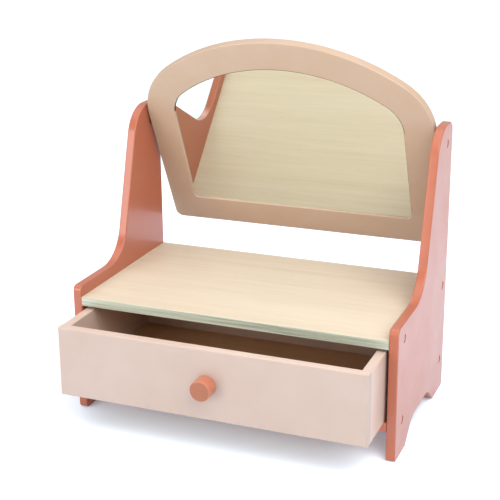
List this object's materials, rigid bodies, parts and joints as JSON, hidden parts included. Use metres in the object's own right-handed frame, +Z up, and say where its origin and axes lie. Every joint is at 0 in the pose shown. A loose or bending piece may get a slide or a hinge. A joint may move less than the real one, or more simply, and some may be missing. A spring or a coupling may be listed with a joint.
{
  "type": "toy dressing table",
  "caption": "Small wooden dressing table with stepped side panels, an arched tilting mirror and one shallow drawer with a round knob.",
  "frame": {"origin": "bottom centre of the whole object's box, drawer a third open and mirror tilted as stored", "axes": "+Z up, +X to the right seen from the front, -Y towards the person at the drawer"},
  "size_m": [0.327, 0.285, 0.3602],
  "materials": {
    "coral_paint": "satin",
    "pink_paint": "satin",
    "pale_wood": "satin",
    "raw_plywood": "matte",
    "dowel_wood": "matte",
    "zinc_steel": "satin",
    "nylon": "matte",
    "mirror_sheet": "polished"
  },
  "bodies": {
    "case": {"left_side_panel": "coral_paint", "right_side_panel": "coral_paint", "table_top": "pale_wood", "bottom_panel": "coral_paint", "back_panel": "coral_paint", "back_panel_dowels": "dowel_wood", "case_screws": "zinc_steel", "screw_plugs": "coral_paint", "pivot_plugs": "coral_paint"},
    "mirror": {"mirror_frame": "pink_paint", "mirror_plate": "mirror_sheet", "mirror_backing": "pink_paint", "backing_screws": "zinc_steel", "left_pivot_screw": "zinc_steel", "right_pivot_screw": "zinc_steel", "left_pivot_washer": "nylon", "right_pivot_washer": "nylon"},
    "drawer": {"drawer_front": "pink_paint", "drawer_left_side": "pink_paint", "drawer_right_side": "pink_paint", "drawer_back": "pink_paint", "drawer_floor": "raw_plywood", "drawer_dowels": "dowel_wood", "drawer_knob": "coral_paint", "knob_screw": "zinc_steel"}
  },
  "joints": [
    {"name": "mirror_tilt", "type": "hinge", "parent": "case", "child": "mirror", "pos_m": [0, 0.08709, 0.2616], "axis": [1, 0, 0], "continuous": true},
    {"name": "drawer_slide", "type": "slide", "parent": "case", "child": "drawer", "axis": [0, -1, 0], "range_m": [-0.0516, 0.0784]}
  ]
}
